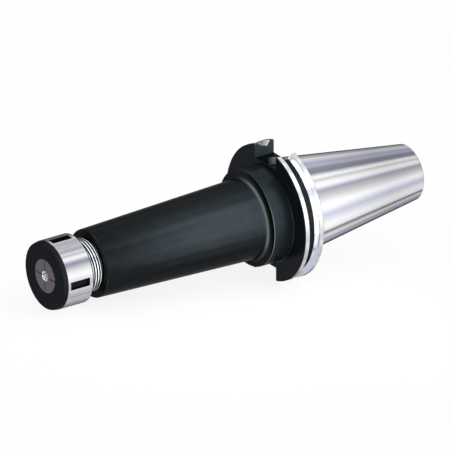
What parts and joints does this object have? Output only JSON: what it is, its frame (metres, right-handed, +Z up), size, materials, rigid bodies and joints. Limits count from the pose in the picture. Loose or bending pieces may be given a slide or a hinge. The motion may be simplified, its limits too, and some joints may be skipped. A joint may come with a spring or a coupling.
{
  "type": "collet chuck holder",
  "caption": "Collet chuck holder with steep-taper shank, grooved flange with drive slots, long tapered projection, ring nut and split double-angle collet.",
  "frame": {"origin": "centre of the taper's gauge line (69.85 mm diameter) on the tool axis", "axes": "+Z up as the holder lies at rest, +X horizontally towards the small end of the taper, the nose towards -X and tilted down by 7.08 degrees, a drive slot up and one down"},
  "size_m": [0.3078, 0.0984, 0.0957],
  "materials": {
    "black_oxide_steel": "black oxide, with the taper, flange rims and groove flanks ground bright",
    "ground_steel": "ground bright rim, black oxide face and pockets",
    "ring_steel": "plain turned",
    "collet_steel": "satin ground",
    "screw_steel": "black oxide",
    "seal_rubber": "matt",
    "nylon": "natural nylon"
  },
  "bodies": {
    "holder": {"holder_body": "black_oxide_steel"},
    "collet_carriage": {"collet": "collet_steel"},
    "nut": {"lock_nut": "ground_steel", "ejector_ring": "ring_steel"},
    "seal": {"stop_screw_seal": "seal_rubber"},
    "stop": {"stop_screw": "screw_steel", "lock_pellet": "nylon"}
  },
  "joints": [
    {"name": "nut_travel", "type": "slide", "parent": "holder", "child": "collet_carriage", "axis": [-0.9924, 0, -0.1232], "range_m": [0, 0.01693]},
    {"name": "nut_turn", "type": "hinge", "parent": "collet_carriage", "child": "nut", "pos_m": [-0.17724, 0, -0.02201], "axis": [-0.9924, 0, -0.1232], "range_deg": [0, 2880]},
    {"name": "stop_travel", "type": "slide", "parent": "holder", "child": "seal", "axis": [-0.9924, 0, -0.1232], "range_m": [-0.01, 0.004]},
    {"name": "stop_turn", "type": "hinge", "parent": "seal", "child": "stop", "pos_m": [-0.11313, 0, -0.01405], "axis": [-0.9924, 0, -0.1232], "range_deg": [-2552, 1021]}
  ],
  "couplings": [
    {"joint": "nut_turn", "follows": "nut_travel", "rad_per_m": 2968.4},
    {"joint": "stop_turn", "follows": "stop_travel", "rad_per_m": 4452.7}
  ]
}
